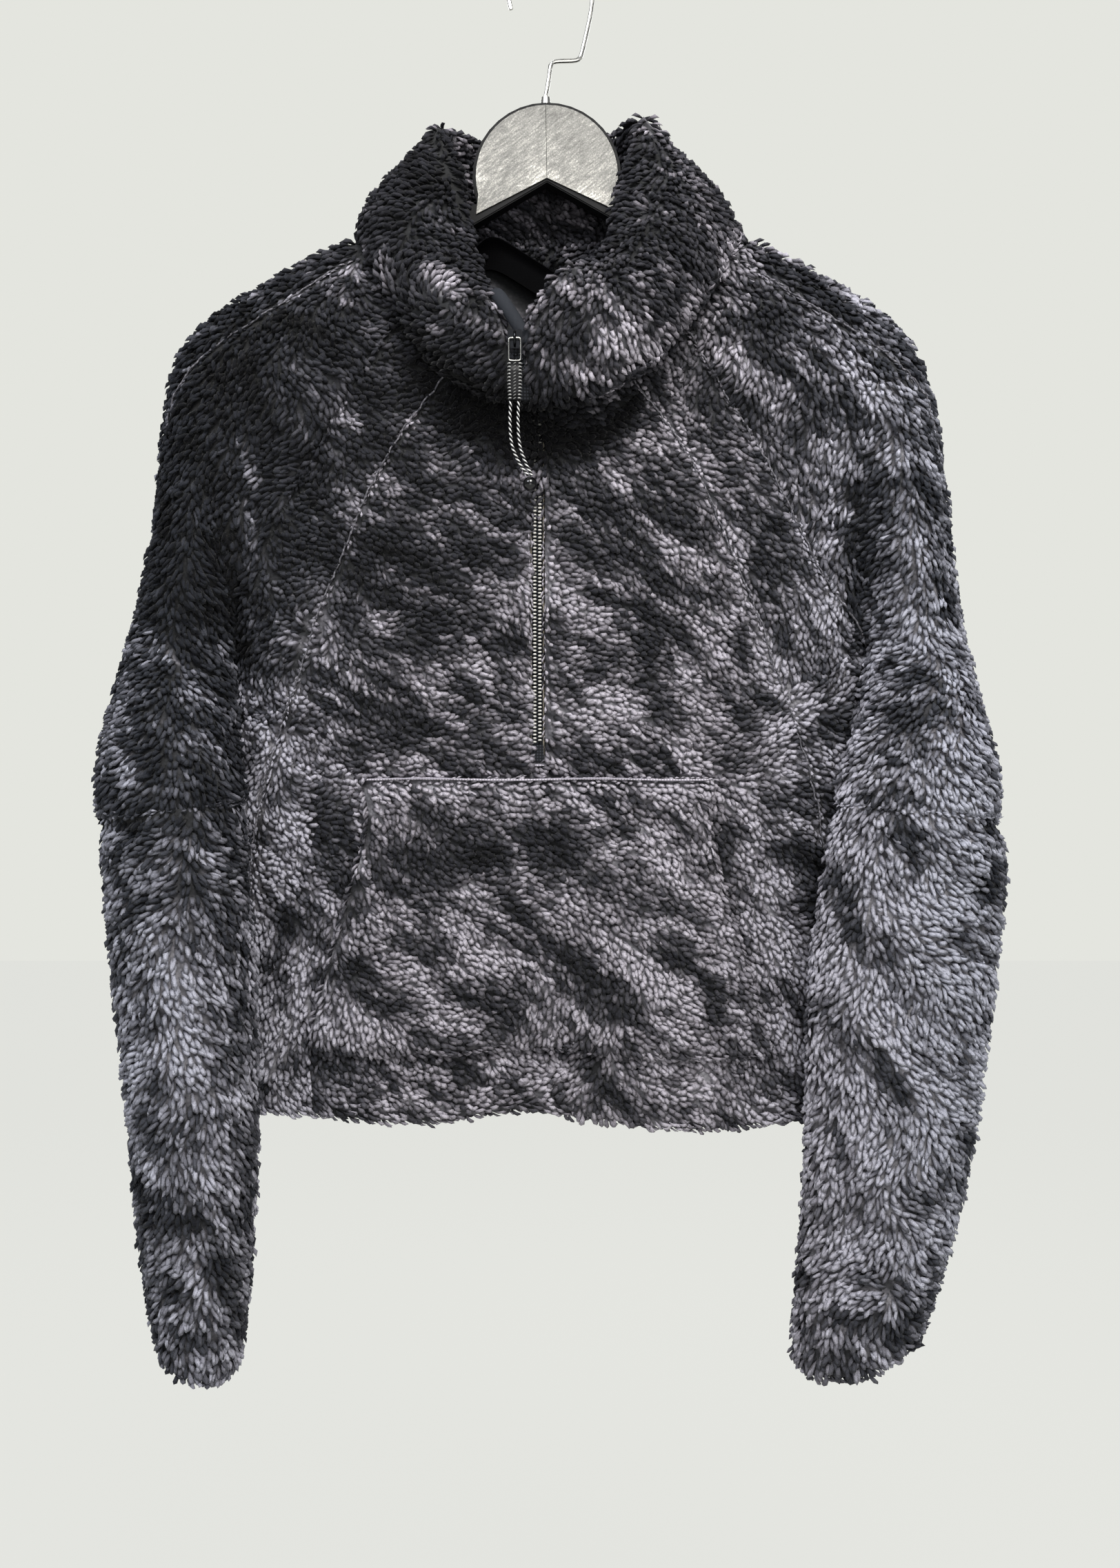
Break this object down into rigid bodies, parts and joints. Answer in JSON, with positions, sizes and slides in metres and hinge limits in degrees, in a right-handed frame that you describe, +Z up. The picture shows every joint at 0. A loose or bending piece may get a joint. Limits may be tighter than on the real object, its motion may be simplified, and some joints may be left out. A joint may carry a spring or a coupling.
{
  "type": "fleece half-zip pullover on a hanger",
  "caption": "High-pile fleece pullover with a stand collar, half zip, raglan sleeves and kangaroo pocket, hanging flat on its black and silver hanger.",
  "frame": {"origin": "the point where the hanger's hook hangs, under the top of its bend", "axes": "+Z up, -Y the garment's front, +X to the right seen from the front"},
  "size_m": [0.5497, 0.1402, 0.8887],
  "materials": {
    "fleece": "high-pile sherpa fleece, mottled charcoal and grey",
    "woven_tape": "dark woven polyester tape",
    "steel": "bright nickel",
    "black_metal": "gloss black",
    "black_plastic": "black moulded",
    "silver_plate": "brushed",
    "metallic_cord": "black cord with a silver thread"
  },
  "bodies": {
    "pullover": {"front_centre": "fleece", "front_side_left": "fleece", "front_side_right": "fleece", "back": "fleece", "sleeve_front_left": "fleece", "sleeve_front_right": "fleece", "sleeve_back_left": "fleece", "sleeve_back_right": "fleece", "sleeve_lower_left": "fleece", "sleeve_lower_right": "fleece", "collar": "fleece", "pocket": "fleece", "zip_tape": "woven_tape", "zip_collar": "woven_tape", "zip_tab": "woven_tape", "chin_guard": "woven_tape", "neck_tape": "woven_tape", "zip_chain": "steel", "zip_slider": "black_metal", "slider_bridge": "black_metal", "hanger_body": "black_plastic", "hanger_plate_left": "silver_plate", "hanger_plate_right": "silver_plate", "hanger_ferrule": "steel", "hanger_hook": "steel"},
    "zip_pull": {"pull_loop": "steel", "pull_wrap": "metallic_cord", "pull_cord_left": "metallic_cord", "pull_cord_right": "metallic_cord", "pull_bead": "black_plastic"}
  },
  "joints": [
    {"name": "zip_pull_hinge", "type": "hinge", "parent": "pullover", "child": "zip_pull", "pos_m": [-0.02061, -0.08858, -0.26985], "axis": [-1, 0, 0], "range_deg": [0, 110]}
  ]
}
